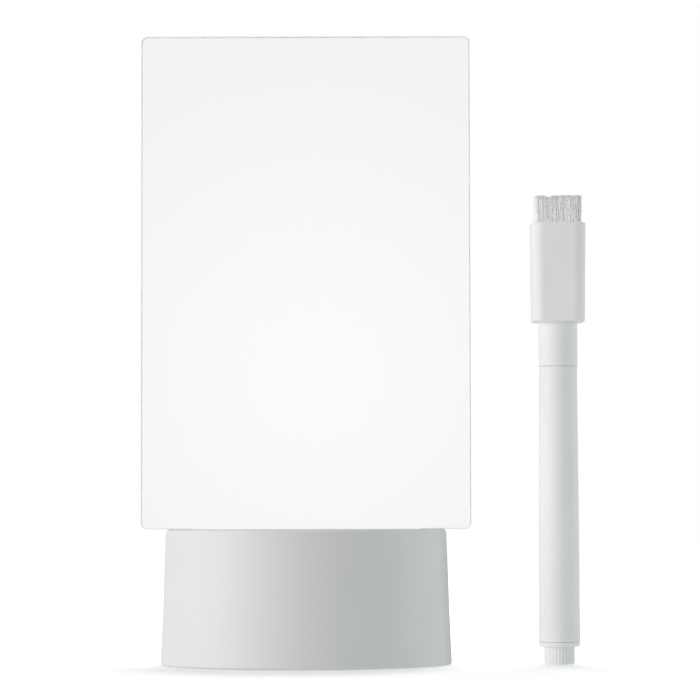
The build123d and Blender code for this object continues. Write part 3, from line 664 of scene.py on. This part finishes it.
sheet_size = Vector((panel_high.x - panel_low.x, panel_high.y - panel_low.y, panel_high.z - roof))
panel = new_piece(
    "clear_panel",
    bpy.ops.mesh.primitive_cube_add,
    size=1,
    location=(0, 0, (panel_high.z + roof) / 2),
    scale=sheet_size,
)
pick("EDGE", lambda edge: runs(edge).y > sheet_size.y / 2)
bpy.ops.mesh.bevel(offset=panel_corner, segments=12, affect="EDGES")
for side in (-1, 1):
    bpy.ops.mesh.select_all(action="SELECT")
    bpy.ops.mesh.bisect(plane_co=(side * tongue_half, 0, 0), plane_no=(1, 0, 0))
pick("FACE", lambda face: face.normal.z < -0.9 and abs(face.calc_center_median().x) < tongue_half)
push(0, 0, panel_low.z - roof)
close_piece(panel, cut_bevel, angle=40)
panel.data.materials.append(face_material)
panel.data.materials.append(edge_material)
for face in panel.data.polygons:
    face.material_index = int(abs(face.normal.y) < 0.99)
set_in(panel, "memo_panel", "writing_panel")

# Pen: polypropylene, a brighter white than the base. The barrel, the fluted plug that closes it
# and the cap are moulded with the same fine satin grain, and so is the cone that holds the nib.
pen_plastic = satin_plastic("pen_satin", (0.915, 0.915, 0.912, 1), 0.62)
for node in ("pen_barrel", "pen_end_plug", "nib_holder", "pen_cap"):
    dress(node, pen_plastic)


# Ink reservoir and nib: bonded polyester fibres that run along the pen, soaked black
def soaked_felt(name, colour):
    """Fibres along Z, with hollows between them painted darker as shade."""
    material, place = start_finish(name)
    strands = place.grain(0.15 * MM, 3, (1, 1, 0.05))
    felt = {
        # The colour follows the relief, so the hollows get a painted shade besides the fibres' own
        # varying tone
        "Base Color": strands.mix(toned(colour, 0.5), toned(colour, 1.5)),
        "Roughness": 0.75 + 0.2 * strands,
        "Normal": strands.relief(0.8, 0.08 * MM),
    }
    place.close(felt)
    return material


dress("ink_reservoir", soaked_felt("inked_fibre", (0.05, 0.05, 0.055, 1)))
dress("pen_nib", soaked_felt("inked_nib", (0.02, 0.02, 0.022, 1)))

# Cap liner: a soft, milky cup pressed in the cap, which seals on the nib holder
dress("cap_liner", dyed_skin("milky_liner", (0.7, 0.7, 0.68, 1), 0.4, 0.4 * MM))

# Eraser brush: a dense tuft of crimped white nylon fibres, set in a pad that is glued in the
# cap's pocket. The fibres lean and wave in clumps and end unevenly, with a dip left of the middle.
# The inner fibres are packed so close that a core rising from the pad stands for them.
brush_low, brush_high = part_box("eraser_brush")
brush_middle = (brush_low + brush_high) / 2
pad_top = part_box("pen_cap")[1].z - 1.5 * MM
pad_half = 6.9 * MM
pad_corner = 2.2 * MM
core_inset = 0.25 * MM
core_top = brush_high.z - 0.9 * MM
fibre_rows = 44
fibre_reach = 6.8 * MM
fibre_width = 0.36 * MM
fibre_root = pad_top - 0.2 * MM
fibre_rings = 5
fibre_spread = 0.09 * MM
fibre_lean = 0.1 * MM
fibre_sway = 0.25 * MM
fibre_crimp = 0.13 * MM
tip_dip = 0.5 * MM

brush_material, place = start_finish("crimped_nylon")
clumps = place.grain(1.3 * MM, 3, (1, 1, 0.25)).fade(0.35, 0.7)
hair = place.grain(0.2 * MM, 2, (1, 1, 0.1))
inked = place.axis("Z").fade(pad_top + 5 * MM, pad_top + 9 * MM)
inked = inked * place.grain(2.0 * MM, 3).fade(0.5, 0.7)
fibre_colour = (0.6 * clumps + 0.4 * hair).mix((0.975, 0.98, 0.975, 1), (0.995, 0.995, 0.99, 1))
brush_colour = (0.02 * inked).mix(fibre_colour, (0.4, 0.41, 0.43, 1))
place.close({"Base Color": brush_colour, "Roughness": 0.5 + 0.2 * hair})

pad = new_piece(
    "brush_pad",
    bpy.ops.mesh.primitive_cube_add,
    size=1,
    location=(brush_middle.x, brush_middle.y, (brush_low.z + pad_top) / 2),
    scale=(2 * pad_half, 2 * pad_half, pad_top - brush_low.z),
)
pick("EDGE", lambda edge: runs(edge).z > pad_half / 2)
bpy.ops.mesh.bevel(offset=pad_corner, segments=6, affect="EDGES")
pick("FACE", lambda face: face.normal.z > 0.9)
bpy.ops.mesh.inset(thickness=core_inset)
push(0, 0, core_top - pad_top)
close_piece(pad, 0.3 * MM)

fibre = new_piece(
    "one_fibre",
    bpy.ops.mesh.primitive_cylinder_add,
    vertices=4,
    radius=fibre_width / 2,
    depth=1,
    location=(0, 0, 0.5),
)
pick("EDGE", lambda edge: runs(edge).z > 0.5)
bpy.ops.mesh.subdivide(number_cuts=fibre_rings)
pick("FACE", lambda face: face.normal.z > 0.9)
bpy.ops.transform.resize(value=(0.6, 0.6, 1), center_override=(0, 0, 1))
bpy.ops.object.mode_set(mode="OBJECT")
fibre_corners = [corner.co.copy() for corner in fibre.data.vertices]
fibre_faces = [list(face.vertices) for face in fibre.data.polygons]

# The clock seeds vector noise unless a number does, and the tuft has to come out the same each run
noise.seed_set(11)
tuft_corners = []
tuft_faces = []
for row in range(fibre_rows):
    for column in range(fibre_rows):
        # Where the fibre stands, from -1 to 1 each way. The tuft's corners are round.
        u = 2 * column / (fibre_rows - 1) - 1
        v = 2 * row / (fibre_rows - 1) - 1
        if math.hypot(max(0, abs(u) - 0.72), max(0, abs(v) - 0.72)) > 0.3:
            continue
        jitter = noise.noise_vector(Vector((row * 3.7, column * 5.3, 0.5)))
        twist = Matrix.Rotation(3 * jitter.z, 3, "Z")
        foot = Vector((brush_middle.x, brush_middle.y, fibre_root))
        foot += Vector((u, v, 0)) * fibre_reach + Vector((jitter.x, jitter.y, 0)) * fibre_spread
        dip = tip_dip * max(0.0, 1 - abs(u + 0.45) / 0.25)
        ragged = 0.2 + 0.25 * noise.noise(Vector((u * 3, v * 3, 7))) + 0.25 * jitter.z
        tip = brush_high.z - dip - (0.05 + max(0.0, ragged)) * MM
        start = len(tuft_corners)
        for corner in fibre_corners:
            height = fibre_root + (tip - fibre_root) * corner.z
            wave = noise.noise_vector(Vector((foot.x, foot.y, height * 0.8)) / (1.7 * MM))
            sway = Vector((wave.x, wave.y, 0)) * corner.z * fibre_sway
            lean = Vector((u, v, 0)) * corner.z * fibre_lean
            crimp = noise.noise_vector(Vector((foot.x, foot.y, height)) / (0.5 * MM))
            bend = Vector((crimp.x, crimp.y, 0)) * fibre_crimp
            rim = twist @ Vector((corner.x, corner.y, 0))
            tuft_corners.append(Vector((foot.x, foot.y, height)) + rim + lean + sway + bend)
        tuft_faces.extend([start + index for index in face] for face in fibre_faces)
tuft_mesh = bpy.data.meshes.new("fibre_tuft")
tuft_mesh.from_pydata(tuft_corners, [], tuft_faces)
tuft = add_object("fibre_tuft", tuft_mesh)
bpy.data.objects.remove(fibre)
bpy.ops.object.select_all(action="DESELECT")
tuft.select_set(True)
pad.select_set(True)
bpy.context.view_layer.objects.active = tuft
bpy.ops.object.join()
brush = bpy.context.object
brush.name = "brush_tuft"
brush.data.materials.clear()
brush.data.materials.append(brush_material)
bpy.ops.object.shade_smooth()
set_in(brush, "cap", "eraser_brush")

# The pen was photographed clear of the board, so its light from the left comes from a lamp of its
# own that the board doesn't shade. The left lamp itself lights the board alone.
board_side = 60 * MM
pen_pieces = bpy.data.collections.new("pen_pieces")
off_board = bpy.data.collections.new("off_board")
for piece in bpy.context.scene.objects:
    if piece.type == "MESH" and min(corner[0] for corner in piece.bound_box) > board_side:
        pen_pieces.objects.link(piece)
for piece in [table, *pen_pieces.objects]:
    off_board.objects.link(piece)
for link in off_board.collection_objects:
    link.light_linking.link_state = "EXCLUDE"
pen_lamp.light_linking.receiver_collection = pen_pieces
pen_lamp.light_linking.blocker_collection = pen_pieces
left_lamp.light_linking.receiver_collection = off_board
